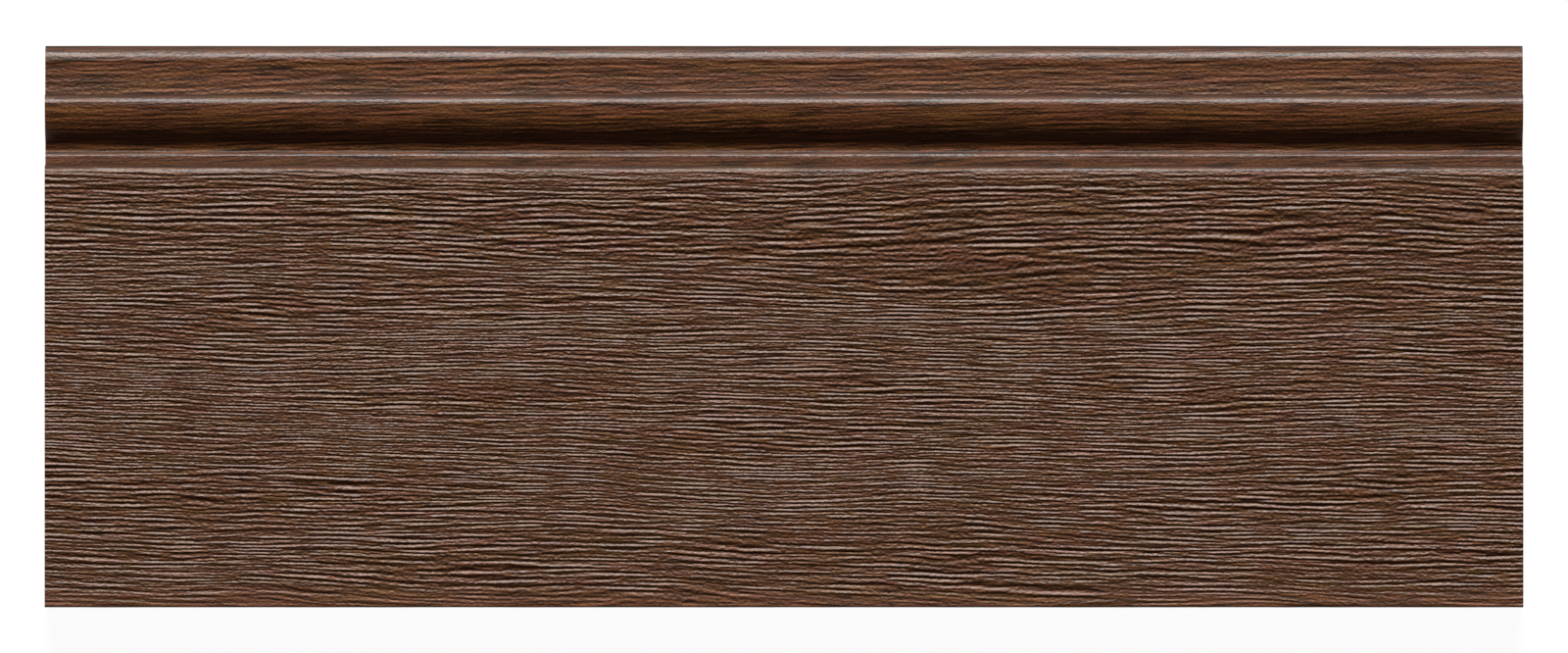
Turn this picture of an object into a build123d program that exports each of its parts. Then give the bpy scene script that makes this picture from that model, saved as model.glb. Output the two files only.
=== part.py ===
"""A moulded skirting board, cut square at both ends.

The board lies on its back: X runs along its length, Y up its height to the moulded top
edge, and Z out from the wall to the room. The origin is the middle of the back face.
Sizes are in millimetres and angles in degrees.
"""

from build123d import *
import math
import os

# The board
board_length = 250.0
board_height = 95.0
face_thickness = 13.0

# The band along the top, very slightly hollow, with a rounded top edge
top_edge_radius = 2.5
band_height = 8.2
band_recess = 4.0
band_hollow = 0.1

# The bead below the band: a tight nose, then a slow back that turns into the cove
bead_recess = 1.0
nose_radius = 1.8
bead_radius = 6.7
bead_turn = 58.0

# The cove under the bead, creased at its foot, where a short lip slopes out and rounds over
cove_radius = 2.5
lip_length = 0.72
lip_rise = 42.0
lip_radius = 0.55

# The narrow fillet under the lip
fillet_height = 1.52

# The plain face: a tight round at its top edge, then a long soft one that eases into it
face_edge_radius = 1.45
ease_radius = 11.0
ease_turn = 9.0
foot_edge_radius = 0.4

# Places worked out from these sizes, as distances from the middle of the back face
top = board_height / 2
foot = -board_height / 2
band_level = face_thickness - band_recess
band_end = top - band_height
bead_level = face_thickness - bead_recess
ease_level = face_thickness - ease_radius * (1 - math.cos(math.radians(ease_turn)))
face_edge_level = ease_level - face_edge_radius * math.cos(math.radians(ease_turn))

# In the section, the first number is up the board and the second is out to the room
to_room = (0, 1)
quarter = 90.0
half = 180.0

with BuildPart() as skirting_board:
    with BuildSketch(Plane.YZ) as section:
        with BuildLine() as outline:
            # Back and top edge
            Line((foot, 0), (top, 0))
            Line((top, 0), (top, band_level - top_edge_radius))
            top_edge = JernArc((top, band_level - top_edge_radius), to_room, top_edge_radius, quarter)
            # Hollow band, and the riser up to the bead
            band = SagittaArc(top_edge @ 1, (band_end, band_level), -band_hollow)
            Line(band @ 1, (band_end, bead_level - nose_radius))
            # Bead and cove: arcs that run into each other without a crease
            nose = JernArc((band_end, bead_level - nose_radius), to_room, nose_radius, quarter)
            bead = JernArc(nose @ 1, nose % 1, bead_radius, bead_turn)
            cove = JernArc(bead @ 1, bead % 1, cove_radius, -bead_turn)
            # Lip: a short slope out from the crease, rounded over into the fillet
            slope = PolarLine(cove @ 1, lip_length, half - lip_rise)
            lip = JernArc(slope @ 1, slope % 1, lip_radius, lip_rise)
            # Fillet, and the riser up to the face
            fillet_end = (lip @ 1) - (fillet_height, 0)
            Line(lip @ 1, fillet_end)
            riser = Line(fillet_end, (fillet_end.X, face_edge_level))
            # Plain face, down to the foot
            face_edge = JernArc(riser @ 1, to_room, face_edge_radius, quarter - ease_turn)
            ease = JernArc(face_edge @ 1, face_edge % 1, ease_radius, ease_turn)
            face = Line(ease @ 1, (foot + foot_edge_radius, face_thickness))
            foot_edge = JernArc(face @ 1, face % 1, foot_edge_radius, quarter)
            Line(foot_edge @ 1, (foot, 0))
        make_face()
    extrude(amount=board_length / 2, both=True)

skirting_board.part.label = "skirting_board"

os.makedirs("parts", exist_ok=True)
export_step(skirting_board.part, "parts/skirting_board.step")
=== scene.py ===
"""A length of dark brushed skirting board, lying on its back on a pale floor and seen from above.

Everything is in metres, in the part's own frame: X along the board, Y up its height to the
moulded top edge, Z out of the wall.
"""

import math
from collections import namedtuple

import bpy
import numpy as np
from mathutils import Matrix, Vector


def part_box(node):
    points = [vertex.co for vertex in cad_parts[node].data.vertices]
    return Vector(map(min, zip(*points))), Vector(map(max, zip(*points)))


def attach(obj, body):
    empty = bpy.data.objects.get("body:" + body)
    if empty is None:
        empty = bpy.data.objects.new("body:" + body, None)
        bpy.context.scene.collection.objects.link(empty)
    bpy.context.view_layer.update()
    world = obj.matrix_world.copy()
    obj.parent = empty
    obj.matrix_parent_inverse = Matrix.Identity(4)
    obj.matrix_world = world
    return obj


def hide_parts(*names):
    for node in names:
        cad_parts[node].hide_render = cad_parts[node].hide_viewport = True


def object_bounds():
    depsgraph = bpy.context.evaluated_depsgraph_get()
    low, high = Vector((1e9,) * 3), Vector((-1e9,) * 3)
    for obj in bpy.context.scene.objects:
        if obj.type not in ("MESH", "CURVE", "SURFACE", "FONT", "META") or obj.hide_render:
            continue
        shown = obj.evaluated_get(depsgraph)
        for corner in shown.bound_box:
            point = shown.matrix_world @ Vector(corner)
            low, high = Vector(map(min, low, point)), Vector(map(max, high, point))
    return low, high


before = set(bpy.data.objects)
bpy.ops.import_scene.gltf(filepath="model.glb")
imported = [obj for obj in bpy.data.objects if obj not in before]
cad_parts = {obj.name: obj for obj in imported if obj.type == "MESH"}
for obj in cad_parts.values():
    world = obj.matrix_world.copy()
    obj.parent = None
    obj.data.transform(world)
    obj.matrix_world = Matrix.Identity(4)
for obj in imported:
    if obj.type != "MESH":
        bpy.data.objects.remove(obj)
cad_low, cad_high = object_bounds()

mm = 0.001
BOARD = "skirting_board"

# Sizes of the moulding, the same as the part's own
top_edge_radius = 2.5 * mm
band_height = 8.2 * mm
band_recess = 4.0 * mm
band_hollow = 0.1 * mm
bead_recess = 1.0 * mm
nose_radius = 1.8 * mm
bead_radius = 6.7 * mm
bead_turn = math.radians(58)
cove_radius = 2.5 * mm
lip_length = 0.72 * mm
lip_rise = math.radians(42)
lip_radius = 0.55 * mm
fillet_height = 1.52 * mm
face_edge_radius = 1.45 * mm
ease_radius = 11.0 * mm
ease_turn = math.radians(9)
foot_edge_radius = 0.4 * mm
quarter = math.radians(90)

# Where the board lies
board_low, board_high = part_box(BOARD)
left_end, right_end = board_low.x, board_high.x
foot, top = board_low.y, board_high.y
back_level, face_level = board_low.z, board_high.z
board_length = right_end - left_end
band_level = face_level - band_recess
bead_level = face_level - bead_recess
ease_level = face_level - ease_radius * (1 - math.cos(ease_turn))
face_edge_level = ease_level - face_edge_radius * math.cos(ease_turn)

# How finely the surface is cut into rows up the board and columns along it, and in how many
# steps the ridges are counted
columns = 133
moulding_row = 0.25 * mm
arris_row = 0.17 * mm
plain_row = 1.4 * mm
crease_gap = 0.03 * mm
rows_per_ridge = 6.9
count_steps = 2000

# Creases sharper than this are shaded as edges
sharp_turn = math.radians(72)

# The brushed relief: fine ridges along the board. Where their pitch is the usual one they're as
# high as this share of it, and finer ridges are a little steeper
ridge_share = 0.058
usual_pitch = 1.0 * mm
fine_steepness = 0.35

# How far from its mean the relief can go, as a multiple of its spread, how long the ridges run,
# and how far weak and strong ones are evened out
ridge_limit = 3.0
ridge_run = 4.0 * mm
evenness = 0.7

# The ridges' spectrum lies between these, in ridges to a pitch
finest_ridges = 1.55
widest_ridges = 0.7

# How deep the relief is on each stretch of the section, as a share of its depth on the face
side_relief = 0.1
top_edge_relief = 0.25
band_relief = 0.4
riser_relief = 0.1
nose_relief = 0.15
bead_relief = 0.35
cove_relief = 0.3
lip_relief = 0.3
lip_round_relief = 0.2
fillet_relief = 0.1
face_edge_relief = 0.35
ease_relief = 0.8
face_relief = 1.0
foot_edge_relief = 0.4

# Over how far the relief grows or fades between stretches, and at the two back edges
fade = 1.2 * mm
fade_steps = 12
back_fade = 3 * mm

# How much smoother the face is worn at its foot, and over what distance
foot_wear = 0.55
foot_wear_reach = 2.8 * mm

# How steeply the grain falls to the right at each end of the top of the face, and how much more
# steeply at the foot. On the moulding it rises to the right
left_fall = math.radians(0.8)
left_fall_gain = math.radians(1.7)
right_fall = math.radians(-0.9)
right_fall_gain = math.radians(1.8)
moulding_rise = math.radians(1.7)

# A tongue of grain that rises into the top right of the face: its middle and width as shares
# of the length and of the face
tongue_height = 2.6 * mm
tongue_run, tongue_run_width = 0.78, 0.2
tongue_fall, tongue_fall_width = 0.02, 0.14

# How far the grain wanders in wide and in small bends, and how much of that the moulding has
wide_wander = 0.5 * mm
small_wander = 0.13 * mm
moulding_wander = 0.6

# The seed of the random draws, and how quickly a patch's spectrum falls off
seed = 7
patch_falloff = 4

# Lattices of random heights: the steps across and along the grain, how many of them there are,
# and the sizes of the patches. The ridges' own steps across are in pitches
wander_step = (0.8 * mm, 2.5 * mm)
wander_size = (256, 128)
wide_patch = (9 * mm, 32 * mm)
small_patch = (3 * mm, 8 * mm)
ridge_step = (0.1, 0.5 * mm)
ridge_size = (2560, 600)
even_patch = (3, 9 * mm)
ridge_start = 60
strength_step = (0.4 * mm, 2 * mm)
strength_size = (512, 150)
strength_patch = (2.5 * mm, 16 * mm)
strength_start = 60 * mm
strength_spread = 0.12

# Half the distance, in pitches, over which the ridges' slope is measured
slope_reach = 0.07


# A row of the surface: its place, the direction out of the wood, how far the walk round the
# section has gone, and how deep the relief is there
Row = namedtuple("Row", "y z out_y out_z walked depth")


class Outline:
    """Walks round the board's section from the top of its back to the foot of its back.

    The heading is 0 where the walk goes out from the wall and a quarter turn where it goes
    down the front, so it's also the angle from +Y to the surface's outward normal.
    """

    def __init__(self, y, z):
        self.y = y
        self.z = z
        self.heading = 0.0
        self.walked = 0.0
        self.rows = [Row(y, z, 1.0, 0.0, 0.0, 0.0)]

    def keep(self, y, z, normal, walked, depth, mitre=1.0):
        """Adds a row whose normal is turned this far from +Y."""
        self.rows.append(Row(y, z, mitre * math.cos(normal), mitre * math.sin(normal), walked, depth))

    def line(self, length, spacing, depth):
        """A straight stretch with evenly spaced rows."""
        count = max(1, round(length / spacing))
        self.line_through([length * i / count for i in range(1, count + 1)], depth)

    def line_through(self, distances, depth):
        """A straight stretch with a row at each of these distances, the last of them its end."""
        out_y, out_z = -math.sin(self.heading), math.cos(self.heading)
        for d in distances:
            self.keep(self.y + d * out_y, self.z + d * out_z, self.heading, self.walked + d, depth)
        self.y += distances[-1] * out_y
        self.z += distances[-1] * out_z
        self.walked += distances[-1]

    def arc(self, radius, turn, spacing, depth):
        """A round stretch: a positive turn bulges out and a negative one is hollow."""
        side = math.copysign(1.0, turn)
        centre_y = self.y - side * radius * math.cos(self.heading)
        centre_z = self.z - side * radius * math.sin(self.heading)
        count = max(2, round(abs(turn) * radius / spacing))
        for i in range(1, count + 1):
            angle = self.heading + turn * i / count
            y = centre_y + side * radius * math.cos(angle)
            z = centre_z + side * radius * math.sin(angle)
            self.keep(y, z, angle, self.walked + abs(turn) * radius * i / count, depth)
        self.y, self.z = self.rows[-1][:2]
        self.heading += turn
        self.walked += abs(turn) * radius

    def corner(self, turn):
        """A crease: a mitred row on it, and a row close by on each side so that it shades crisply."""
        before, last = self.rows[-2:]
        share = crease_gap / (last.walked - before.walked)
        self.rows[-1] = Row(*(share * a + (1 - share) * b for a, b in zip(before, last)))
        self.keep(last.y, last.z, self.heading + turn / 2, self.walked, last.depth, 1 / math.cos(turn / 2))
        self.heading += turn
        after_y = last.y - crease_gap * math.sin(self.heading)
        after_z = last.z + crease_gap * math.cos(self.heading)
        self.keep(after_y, after_z, self.heading, self.walked + crease_gap, last.depth)


def ridge_pitch(drop):
    """Distance between ridges, at this distance below the top of the plain face."""
    drops = np.array([0, 6, 18, 29, 41, 52, 64, 73]) * mm
    pitches = np.array([1.05, 1.02, 0.9, 0.78, 0.72, 0.84, 0.98, 1.05]) * mm
    return np.interp(drop, drops, pitches)


def ridge_count(length):
    """Distances below the top of the plain face, and how many ridges lie above each."""
    drops = np.linspace(0, length, count_steps)
    counts = np.concatenate([[0], np.cumsum(np.diff(drops) / ridge_pitch(drops[1:]))])
    return drops, counts


def walk_band(walk):
    """The hollow band between its two creases, from the top edge to the riser."""
    band_width = band_height - top_edge_radius
    hollow_radius = (band_width**2 / 4 + band_hollow**2) / (2 * band_hollow)
    hollow_slope = math.asin(band_width / 2 / hollow_radius)
    walk.corner(hollow_slope)
    walk.arc(hollow_radius, -2 * hollow_slope, moulding_row, band_relief)
    walk.corner(hollow_slope - quarter)


def walk_face(walk, length):
    """The plain face, with the same number of rows to each ridge."""
    drops, counts = ridge_count(length)
    rows = round(counts[-1] * rows_per_ridge)
    row_counts = np.linspace(0, counts[-1], rows + 1)[1:]
    walk.line_through(list(np.interp(row_counts, counts, drops)), face_relief)


def section_rows():
    """The rows of the board's surface, and how far the walk has gone at the face's main places."""
    walk = Outline(top, back_level)
    walk.line(band_level - top_edge_radius - back_level, plain_row, side_relief)
    walk.arc(top_edge_radius, quarter, moulding_row, top_edge_relief)
    walk_band(walk)
    walk.line(bead_level - nose_radius - band_level, moulding_row, riser_relief)
    walk.arc(nose_radius, quarter, arris_row, nose_relief)
    walk.arc(bead_radius, bead_turn, moulding_row, bead_relief)
    walk.arc(cove_radius, -bead_turn, moulding_row, cove_relief)
    walk.corner(-lip_rise)
    walk.line(lip_length, moulding_row, lip_relief)
    walk.arc(lip_radius, lip_rise, arris_row, lip_round_relief)
    walk.line(fillet_height, moulding_row, fillet_relief)
    walk.corner(-quarter)
    riser_foot = walk.walked
    walk.line(face_edge_level - walk.z, moulding_row, riser_relief)
    walk.arc(face_edge_radius, quarter - ease_turn, arris_row, face_edge_relief)
    walk.arc(ease_radius, ease_turn, arris_row, ease_relief)
    face_top = walk.walked
    face_length = walk.y - foot - foot_edge_radius
    walk_face(walk, face_length)
    walk.arc(foot_edge_radius, quarter, arris_row, foot_edge_relief)
    walk.line(walk.z - back_level, plain_row, side_relief)
    return np.array(walk.rows).T, riser_foot, face_top, face_length


def blurred(lattice, step, spectrum):
    """The lattice smoothed by this spectrum."""
    across = np.abs(np.fft.fftfreq(lattice.shape[0], step[0]))[:, None]
    along = np.abs(np.fft.fftfreq(lattice.shape[1], step[1]))[None, :]
    return np.real(np.fft.ifft2(np.fft.fft2(lattice) * spectrum(across, along)))


def noise(rng, size, step, spectrum):
    """Smooth random heights on a lattice that repeats, with a mean of 0 and a spread of 1."""
    made = blurred(rng.standard_normal(size), step, spectrum)
    made -= made.mean()
    return made / made.std()


def sample(lattice, step, across, along):
    """The lattice's height at these places, straight between its points."""
    a = across / step[0]
    b = along / step[1]
    a0 = np.floor(a).astype(int)
    b0 = np.floor(b).astype(int)
    fa, fb = a - a0, b - b0
    rows, cols = lattice.shape
    a0, b0 = a0 % rows, b0 % cols
    a1, b1 = (a0 + 1) % rows, (b0 + 1) % cols
    low = lattice[a0, b0] * (1 - fb) + lattice[a0, b1] * fb
    high = lattice[a1, b0] * (1 - fb) + lattice[a1, b1] * fb
    return low * (1 - fa) + high * fa


def soft(across_size, along_size):
    """The spectrum of soft patches of this size across and along the grain."""
    def spectrum(across, along):
        return np.exp(-((across * across_size) ** 2 + (along * along_size) ** 2) * patch_falloff)
    return spectrum


def ridged(across, along):
    """The spectrum of the ridges: about one to each pitch across, and longer along the grain."""
    low_pass = np.exp(-((across / finest_ridges) ** 2))
    high_pass = 1 - np.exp(-((across / widest_ridges) ** 2))
    return low_pass * high_pass / np.sqrt(1 + (2 * math.pi * along * ridge_run) ** 2)


def grain_drift(rng, x, walked, riser_foot, face_top, face_length):
    """How far the grain lines have drifted down the board at each place along it."""
    run = (x - left_end) / board_length
    fall = np.clip((walked - face_top) / face_length, 0, 1)
    on_face = walked > riser_foot
    left_slope = left_fall + fall * left_fall_gain
    right_slope = right_fall + fall * right_fall_gain
    face_drift = board_length * (left_slope * run + (right_slope - left_slope) * run**2 / 2)
    moulding_drift = -board_length * moulding_rise * run
    drift = np.where(on_face, face_drift, moulding_drift)
    across_tongue = ((run - tongue_run) / tongue_run_width) ** 2
    down_tongue = ((fall - tongue_fall) / tongue_fall_width) ** 2
    drift = drift - tongue_height * np.exp(-across_tongue - down_tongue) * on_face

    wide = noise(rng, wander_size, wander_step, soft(*wide_patch))
    small = noise(rng, wander_size, wander_step, soft(*small_patch))
    along = x - left_end
    wander = wide_wander * sample(wide, wander_step, walked, along)
    wander = wander + small_wander * sample(small, wander_step, walked, along)
    return drift + wander * np.where(on_face, 1, moulding_wander)


def relief(rng, x, walked, riser_foot, face_top, face_length):
    """Depth of the relief, its slope down the board, and the grain's place."""
    drift = grain_drift(rng, x, walked, riser_foot, face_top, face_length)
    grain = walked - drift
    drops, counts = ridge_count(face_length)
    phase = np.interp(grain - face_top, drops, counts)
    outside = np.minimum(grain - face_top, 0) + np.maximum(grain - face_top - face_length, 0)
    phase = phase + outside / ridge_pitch(0.0)
    along = x - left_end

    ridges = noise(rng, ridge_size, ridge_step, ridged)
    spread = np.sqrt(blurred(ridges**2, ridge_step, soft(*even_patch)))
    ridges /= spread**evenness
    patches = noise(rng, strength_size, strength_step, soft(*strength_patch))
    strength = 1 + strength_spread * sample(patches, strength_step, grain + strength_start, along)

    def depth_at(phase):
        height = strength * sample(ridges, ridge_step, phase + ridge_start, along)
        return ridge_limit * (1 - np.tanh(height / ridge_limit))

    rise = (depth_at(phase - slope_reach) - depth_at(phase + slope_reach)) / (2 * slope_reach)
    pitch = ridge_pitch(walked - face_top)
    share = ridge_share * (usual_pitch / pitch) ** fine_steepness
    return depth_at(phase) * share * pitch, rise * share, grain


def relief_depths(walked, depth, face_top, face_length):
    """The relief's depth at each row, changed gently from stretch to stretch and worn at the foot."""
    near = np.arange(-fade / 2, fade / 2, fade / fade_steps)
    depth = np.mean([np.interp(walked + shift, walked, depth) for shift in near], axis=0)
    from_back = np.minimum(walked, walked[-1] - walked)
    depth = depth * np.clip(from_back / back_fade, 0, 1)
    from_foot = np.abs(walked - face_top - face_length)
    return depth * (1 - foot_wear * np.exp(-((from_foot / foot_wear_reach) ** 2)))


def board_points():
    """The places of the board's rows and columns, and the values that its material reads there."""
    rng = np.random.default_rng(seed)
    (y, z, out_y, out_z, walked, depth), riser_foot, face_top, face_length = section_rows()
    depth = relief_depths(walked, depth, face_top, face_length)
    x = np.linspace(left_end, right_end, columns + 1)
    grid_x, grid_walked = np.meshgrid(x, walked, indexing="ij")
    hollow, rise, grain = relief(rng, grid_x, grid_walked, riser_foot, face_top, face_length)
    cut = hollow * depth
    points = np.stack([grid_x, y - cut * out_y, z - cut * out_z], axis=-1)
    values = {"grain": grain, "slope": rise * depth, "brushed": np.broadcast_to(depth, grain.shape)}
    return points, values


def board_faces(rows):
    """Four-sided faces between the columns, then the two ends."""
    faces = []
    for i in range(columns):
        for j in range(rows):
            k = (j + 1) % rows
            faces.append((i * rows + j, i * rows + k, (i + 1) * rows + k, (i + 1) * rows + j))
    faces.append(tuple(range(rows - 1, -1, -1)))
    faces.append(tuple(range(columns * rows, (columns + 1) * rows)))
    return faces


def build_board(looks):
    """The board as one closed mesh, with the relief cut into its front, and its three looks."""
    points, values = board_points()
    rows = points.shape[1]
    faces = board_faces(rows)
    mesh = bpy.data.meshes.new("dressed_board")
    mesh.from_pydata(points.reshape(-1, 3).tolist(), [], faces)
    mesh.polygons.foreach_set("use_smooth", [True] * len(faces))
    front, back, end = range(len(looks))
    wears = ([front] * (rows - 1) + [back]) * columns + [end, end]
    mesh.polygons.foreach_set("material_index", wears)
    for name, heights in values.items():
        layer = mesh.attributes.new(name, "FLOAT", "POINT")
        layer.data.foreach_set("value", heights.astype(np.float32).ravel())
    mesh.set_sharp_from_angle(angle=sharp_turn)
    for look in looks:
        mesh.materials.append(look)
    mesh.update()
    board = bpy.data.objects.new("dressed_board", mesh)
    bpy.context.scene.collection.objects.link(board)
    return board


class Nodes:
    """Adds shader nodes to a material or a world and joins them."""

    # Places of the sockets on a mixing node: its factor, and the two numbers or colours it mixes
    FACTOR, NUMBER_A, NUMBER_B, COLOUR_A, COLOUR_B = 0, 2, 3, 6, 7
    NUMBER_OUT, COLOUR_OUT = 0, 2

    def __init__(self, owner):
        owner.use_nodes = True
        self.owner = owner
        self.tree = owner.node_tree
        self.tree.nodes.clear()

    def fill(self, socket, value):
        """Joins the socket to another one, or sets its value."""
        if isinstance(value, bpy.types.NodeSocket):
            self.tree.links.new(value, socket)
        else:
            socket.default_value = value

    def add(self, kind, inputs=None, **settings):
        node = self.tree.nodes.new(kind)
        for key, value in settings.items():
            setattr(node, key, value)
        for key, value in (inputs or {}).items():
            self.fill(node.inputs[key], value)
        return node

    def maths(self, operation, *values):
        node = self.add("ShaderNodeMath", operation=operation)
        for socket, value in zip(node.inputs, values):
            self.fill(socket, value)
        return node.outputs[0]

    def product(self, first, *others):
        """All of these values multiplied together."""
        for value in others:
            first = self.maths("MULTIPLY", first, value)
        return first

    def span(self, value, low, high, to_low=0.0, to_high=1.0):
        """Maps low to to_low and high to to_high, and holds the value between them."""
        node = self.add("ShaderNodeMapRange", {"Value": value, "From Min": low, "From Max": high,
                                               "To Min": to_low, "To Max": to_high})
        return node.outputs["Result"]

    def blend(self, factor, a, b, kind="MIX"):
        """A colour between a and b, or their product where the kind says so."""
        sockets = {self.FACTOR: factor, self.COLOUR_A: a, self.COLOUR_B: b}
        node = self.add("ShaderNodeMix", sockets, data_type="RGBA", blend_type=kind)
        return node.outputs[self.COLOUR_OUT]

    def between(self, factor, a, b):
        """A number between a and b."""
        node = self.add("ShaderNodeMix", {self.FACTOR: factor, self.NUMBER_A: a, self.NUMBER_B: b})
        return node.outputs[self.NUMBER_OUT]

    def speckle(self, place, size_x, size_y, size_z=1.0, detail=2.0, rough=0.5):
        """Noise with patches of this size in each direction."""
        scaled = self.add("ShaderNodeVectorMath", {0: place, 1: (1 / size_x, 1 / size_y, 1 / size_z)},
                          operation="MULTIPLY").outputs[0]
        node = self.add("ShaderNodeTexNoise", {"Vector": scaled, "Scale": 1.0, "Detail": detail,
                                               "Roughness": rough})
        return node.outputs["Fac"]

    def attribute(self, name):
        return self.add("ShaderNodeAttribute", attribute_name=name).outputs["Fac"]

    def wood(self, colour, roughness, height, shine=0.5):
        """Wood of this colour, roughness and shine, with a bump of this height in metres."""
        bump = self.add("ShaderNodeBump", {"Strength": 1.0, "Distance": 1.0, "Height": height}).outputs[0]
        shader = self.add("ShaderNodeBsdfPrincipled", {"Base Color": colour, "Roughness": roughness,
                                                       "Specular IOR Level": shine, "Normal": bump})
        return self.finish(shader.outputs[0])

    def finish(self, shader):
        self.add("ShaderNodeOutputMaterial", {"Surface": shader})
        return self.owner


# Colours of the board
RED_BROWN = (0.114, 0.0385, 0.0146, 1)
OLIVE_BROWN = (0.108, 0.0420, 0.0098, 1)
# The brown of pores and veins, also used for the painted shade on slopes that face away from the key
PORE_AND_SHADE_BROWN = (0.014, 0.0042, 0.0012, 1)
SAWN_BROWN = (0.085, 0.043, 0.022, 1)

# Sizes of the front's marks along and across the grain
TINT = (20 * mm, 1.8 * mm)
STREAK = (12 * mm, 0.7 * mm)
VEIN = (16 * mm, 0.38 * mm)
PORE = (7.0 * mm, 0.27 * mm)
FLECK = (0.45 * mm, 0.28 * mm)
TOOTH = (0.34 * mm, 0.24 * mm)
FIBRE = (0.8 * mm, 0.40 * mm)

# The middle of all noise
MIDDLE = 0.5

# Heights of the fibres and the tooth, and half the distance over which a fibre's slope is measured
FIBRE_HEIGHT = 0.12 * mm
TOOTH_HEIGHT = 0.022 * mm
FIBRE_REACH = 0.08 * mm

# The steepest slopes that the tone follows, facing down and up the board
STEEPEST_DOWN = -0.5
STEEPEST_UP = 0.20

# How much lighter the wood is painted for each radian that it faces up the board towards the key, as painted
# light, and how much darker for each radian that it faces down, as painted shade
PAINTED_LIGHT_AND_SHADE_BY_SLOPE = 2.8

# How strongly the veins lighten and darken the wood around them, and how shiny the front is
VEIN_CONTRAST = 1.5
FRONT_SHINE = 0.44

# Spans of the front: two values of what a span reads, then what it gives at each of them, or
# 0 and 1 where it says no more. Brushing is 0 where the wood is smooth and 1 on the face, and
# the moulding lies between
FIBRES_BY_BRUSHING = (0.0, 1.0, 0.3, 1.0)
REDNESS_BY_BRUSHING = (0.4, 0.8, 0.055, 0.0)
VEINS_BY_BRUSHING = (0.4, 0.8, 1.0, 0.3)
ROUGHNESS_BY_BRUSHING = (0.4, 0.8, 0.05, 0.0)
TONE_BY_BRUSHING = (0.4, 0.9, 1.06, 0.76)
TONE_OF_RISERS = (0.1, 0.25, 0.84, 1.0)
TONE_BY_STREAK = (0.38, 0.62, 0.82, 1.18)
TONE_BY_FLECK = (0.30, 0.70, 0.70, 1.30)
# Painted shade on surfaces that face straight up the board, towards the key
PAINTED_SHADE_BY_UPWARD = (0.5, 0.9, 1.0, 0.5)
ROUGHNESS_BY_UPWARD = (0.6, 0.9, 0.0, 0.5)
ROUGHNESS_BY_SLOPE = (-0.15, 0.15, 0.33, 0.42)
RED_BY_REDNESS = (0.38, 0.62)
# Painted shade: darker where the ridges and fibres face down the board, away from the key
SHADE_ON_DOWNWARD_SLOPES = (-0.32, -0.08, 0.94, 0.0)
DARK_IN_PORES = (0.56, 0.63, 0.0, 0.85)
DARK_IN_VEINS = (0.55, 0.61, 0.0, 0.85)
# Painted light: pores, veins and painted shade fade where the wood faces up the board towards the key
DARK_TAKEN_BY_PAINTED_LIGHT = (0.05, 0.18, 1.0, 0.3)


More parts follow.
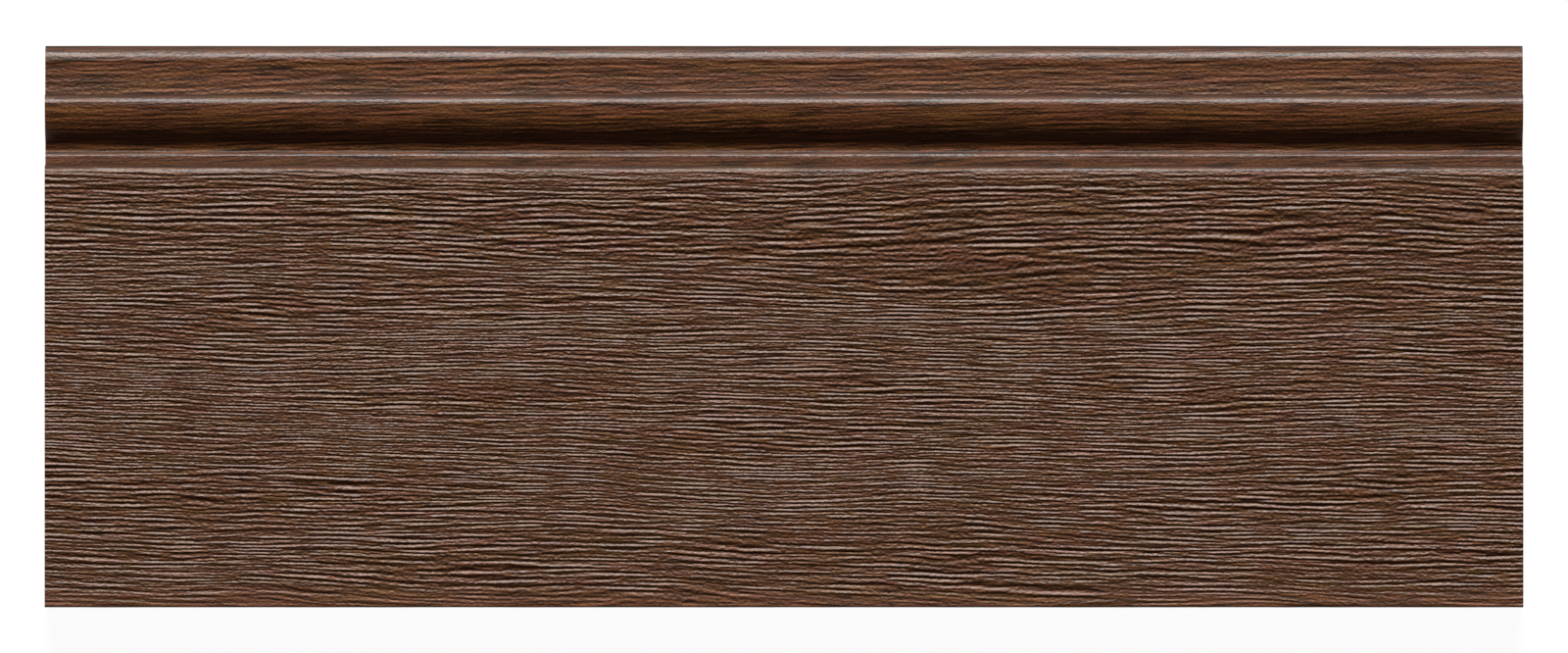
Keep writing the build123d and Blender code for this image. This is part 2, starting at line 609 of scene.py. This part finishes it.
def brushed_front():
    """Brushed wood: streaks and pores along the grain, with painted light on the upper sides of the ridges
    and fibres, which face the key, and painted shade on their lower sides.
    """
    n = Nodes(bpy.data.materials.new("brushed_front"))
    grain = n.attribute("grain")
    slope = n.attribute("slope")
    brushed = n.attribute("brushed")
    object_place = n.add("ShaderNodeTexCoord").outputs["Object"]
    along = n.add("ShaderNodeSeparateXYZ", {0: object_place}).outputs["X"]
    place = n.add("ShaderNodeCombineXYZ", {"X": along, "Y": grain}).outputs[0]

    tint = n.speckle(place, *TINT, detail=3.0)
    streak = n.speckle(place, *STREAK, detail=3.0, rough=0.6)
    vein = n.speckle(place, *VEIN, detail=2.0, rough=0.6)
    pore = n.speckle(place, *PORE, detail=2.0)
    fleck = n.speckle(place, *FLECK, detail=1.0)
    tooth = n.speckle(place, *TOOTH, detail=1.0)
    normal = n.add("ShaderNodeNewGeometry").outputs["Normal"]
    upward = n.add("ShaderNodeSeparateXYZ", {0: normal}).outputs["Y"]

    def fibre(shift):
        moved = n.add("ShaderNodeVectorMath", {0: place, 1: (0, shift, 0)}, operation="ADD").outputs[0]
        return n.speckle(moved, *FIBRE, detail=1.0)

    # Slope of the ridges and the fibres together
    fibre_height = n.maths("MULTIPLY", n.span(brushed, *FIBRES_BY_BRUSHING), FIBRE_HEIGHT)
    lift = n.maths("SUBTRACT", fibre(FIBRE_REACH), fibre(-FIBRE_REACH))
    lift = n.maths("MULTIPLY", lift, n.maths("DIVIDE", fibre_height, 2 * FIBRE_REACH))
    slope = n.maths("MINIMUM", n.maths("ADD", slope, lift), STEEPEST_UP)
    slope = n.maths("MAXIMUM", slope, STEEPEST_DOWN)

    # Colour and tone of the wood between its pores, with painted light where it faces up the board towards
    # the key and painted shade where it faces down or looks straight up the board
    redness = n.maths("ADD", tint, n.span(brushed, *REDNESS_BY_BRUSHING))
    colour = n.blend(n.span(redness, *RED_BY_REDNESS), OLIVE_BROWN, RED_BROWN)
    veined = n.span(brushed, *VEINS_BY_BRUSHING)
    contrast = n.maths("MULTIPLY", n.maths("SUBTRACT", MIDDLE, vein), veined)
    shade = n.product(n.maths("EXPONENT", n.maths("MULTIPLY", slope, PAINTED_LIGHT_AND_SHADE_BY_SLOPE)),
                      n.span(streak, *TONE_BY_STREAK), n.span(fleck, *TONE_BY_FLECK),
                      n.span(brushed, *TONE_BY_BRUSHING), n.span(brushed, *TONE_OF_RISERS),
                      n.span(upward, *PAINTED_SHADE_BY_UPWARD), n.maths("MULTIPLY_ADD", contrast, VEIN_CONTRAST, 1.0))
    shades = n.add("ShaderNodeCombineColor", {"Red": shade, "Green": shade, "Blue": shade}).outputs[0]
    colour = n.blend(1.0, colour, shades, "MULTIPLY")

    # Painted shade where the wood faces down the board, away from the key, with the pores and veins; all of
    # them are taken away where the wood faces up the board towards the key, which paints light there
    groove_shade = n.span(slope, *SHADE_ON_DOWNWARD_SLOPES)
    pores = n.span(pore, *DARK_IN_PORES)
    veins = n.maths("MULTIPLY", n.span(vein, *DARK_IN_VEINS), veined)
    dark = n.maths("MAXIMUM", n.maths("MAXIMUM", groove_shade, pores), veins)
    dark = n.maths("MULTIPLY", dark, n.span(slope, *DARK_TAKEN_BY_PAINTED_LIGHT))
    colour = n.blend(dark, colour, PORE_AND_SHADE_BROWN)

    height = n.maths("MULTIPLY", n.maths("SUBTRACT", fibre(0), MIDDLE), fibre_height)
    tooth_height = n.maths("MULTIPLY", n.maths("SUBTRACT", tooth, MIDDLE), TOOTH_HEIGHT)
    height = n.maths("ADD", height, tooth_height)
    roughness = n.maths("ADD", n.span(slope, *ROUGHNESS_BY_SLOPE), n.span(brushed, *ROUGHNESS_BY_BRUSHING))
    roughness = n.maths("ADD", roughness, n.span(upward, *ROUGHNESS_BY_UPWARD))
    return n.wood(colour, roughness, height, FRONT_SHINE)


# The plain back and the sawn ends: sizes of their marks, the depth of those marks, and roughness
PLAIN_STREAK = (14 * mm, 0.9 * mm)
PLAIN_RELIEF = 0.08 * mm
PLAIN_ROUGHNESS = 0.65
SAWN_RINGS = (50 * mm, 5.0 * mm, 1.3 * mm)
SAWN_PORES = (50 * mm, 0.35 * mm, 0.35 * mm)
SAWN_RELIEF = 0.10 * mm
SAWN_ROUGHNESS = 0.75

# Their spans, as above
SAWN_TONE = (0.3, 0.7)
DARK_IN_SAWN_PORES = (0.35, 0.6, 0.45, 0.0)


def plain_back():
    """The planed back, plain brown with faint grain."""
    n = Nodes(bpy.data.materials.new("plain_back"))
    place = n.add("ShaderNodeTexCoord").outputs["Object"]
    streak = n.speckle(place, *PLAIN_STREAK, detail=4.0, rough=0.6)
    colour = n.blend(n.span(streak, *SAWN_TONE), PORE_AND_SHADE_BROWN, SAWN_BROWN)
    return n.wood(colour, PLAIN_ROUGHNESS, n.maths("MULTIPLY", streak, PLAIN_RELIEF))


def sawn_end():
    """The sawn ends: end grain with faint rings and fine pores."""
    n = Nodes(bpy.data.materials.new("sawn_end"))
    place = n.add("ShaderNodeTexCoord").outputs["Object"]
    rings = n.speckle(place, *SAWN_RINGS, detail=3.0)
    pores = n.speckle(place, *SAWN_PORES, detail=2.0)
    colour = n.blend(n.span(rings, *SAWN_TONE), PORE_AND_SHADE_BROWN, SAWN_BROWN)
    colour = n.blend(n.span(pores, *DARK_IN_SAWN_PORES), colour, PORE_AND_SHADE_BROWN)
    return n.wood(colour, SAWN_ROUGHNESS, n.maths("MULTIPLY", pores, SAWN_RELIEF))


# The photograph's frame: the board's length in pixels of the photograph's width
PHOTO_WIDTH_PX = 1600
BOARD_LENGTH_PX = 1509.0

# The camera's lens and sensor, in its own millimetres, and how far it sees, in metres
LENS = 650.0
SENSOR = 36.0
FAR_CLIP = 100.0


def add_camera():
    """A long lens straight above the board, with the top of the board up the picture."""
    data = bpy.data.cameras.new("camera")
    data.lens = LENS
    data.sensor_width = SENSOR
    data.clip_end = FAR_CLIP
    camera = bpy.data.objects.new("camera", data)
    picture_width = board_length * PHOTO_WIDTH_PX / BOARD_LENGTH_PX
    height = picture_width * LENS / SENSOR
    middle = (cad_low + cad_high) / 2
    camera.location = (middle.x, middle.y, face_level + height)
    bpy.context.scene.collection.objects.link(camera)
    bpy.context.scene.camera = camera


# Light: one soft key from above the top edge, and a little light from all round
KEY_ELEVATION = math.radians(45)
KEY_SHARE = 0.955
KEY_WIDTH = math.radians(18)
AMBIENT = 0.045

# What mirrored rays see above the floor: white up to the first height, then dark from the second
WHITE_NEAR_FLOOR = (0.03, 0.15, 1.0, 0.0)
WHITE = (1, 1, 1, 1)

# The floor: its paint under the light, and what the camera sees of it, glowing but for a thin
# paint that takes the shadow
FLOOR_PAINT = (0.8, 0.8, 0.8, 1)
THIN_PAINT = (0.06, 0.06, 0.06, 1)
FLOOR_GLOW = 0.955
FLOOR_REACH = 40.0


def add_key():
    data = bpy.data.lights.new("key", "SUN")
    data.angle = KEY_WIDTH
    data.energy = KEY_SHARE * math.pi / math.sin(KEY_ELEVATION)
    key = bpy.data.objects.new("key", data)
    key.rotation_euler = (KEY_ELEVATION - quarter, 0, 0)
    bpy.context.scene.collection.objects.link(key)


def background_rays(n):
    """1 for the rays that see the background itself: first straight or through glass, then mirrored."""
    path = n.add("ShaderNodeLightPath")
    seen = n.maths("MAXIMUM", path.outputs["Is Camera Ray"], path.outputs["Is Transmission Ray"])
    return seen, path.outputs["Is Glossy Ray"]


def add_world():
    """White where the camera looks past the floor, and dim light on the object."""
    world = bpy.data.worlds.new("studio")
    bpy.context.scene.world = world
    n = Nodes(world)
    seen, mirrored = background_rays(n)
    direction = n.add("ShaderNodeTexCoord").outputs["Generated"]
    height = n.add("ShaderNodeSeparateXYZ", {0: direction}).outputs["Z"]
    near_floor = n.span(height, *WHITE_NEAR_FLOOR)
    strength = n.span(seen, 0.0, 1.0, AMBIENT, 1.0)
    strength = n.between(mirrored, strength, near_floor)
    back = n.add("ShaderNodeBackground", {"Color": WHITE, "Strength": strength})
    n.add("ShaderNodeOutputWorld", {"Surface": back.outputs[0]})


def add_floor():
    """A white floor that shows the object's shadow as a pale grey."""
    n = Nodes(bpy.data.materials.new("floor"))
    seen, mirrored = background_rays(n)
    white = n.maths("MAXIMUM", seen, mirrored)
    paint = n.add("ShaderNodeBsdfDiffuse", {"Color": FLOOR_PAINT})
    thin_paint = n.add("ShaderNodeBsdfDiffuse", {"Color": THIN_PAINT})
    glow = n.add("ShaderNodeEmission", {"Color": WHITE, "Strength": FLOOR_GLOW})
    shown = n.add("ShaderNodeAddShader", {0: thin_paint.outputs[0], 1: glow.outputs[0]})
    shader = n.add("ShaderNodeMixShader", {0: white, 1: paint.outputs[0], 2: shown.outputs[0]})
    mesh = bpy.data.meshes.new("floor")
    corners = [(-FLOOR_REACH, -FLOOR_REACH, back_level), (FLOOR_REACH, -FLOOR_REACH, back_level),
               (FLOOR_REACH, FLOOR_REACH, back_level), (-FLOOR_REACH, FLOOR_REACH, back_level)]
    mesh.from_pydata(corners, [], [(0, 1, 2, 3)])
    mesh.materials.append(n.finish(shader.outputs[0]))
    floor = bpy.data.objects.new("floor", mesh)
    bpy.context.scene.collection.objects.link(floor)


board = build_board([brushed_front(), plain_back(), sawn_end()])
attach(board, "root")
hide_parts(BOARD)

add_camera()
add_key()
add_world()
add_floor()

bpy.context.scene.view_settings.view_transform = "Standard"
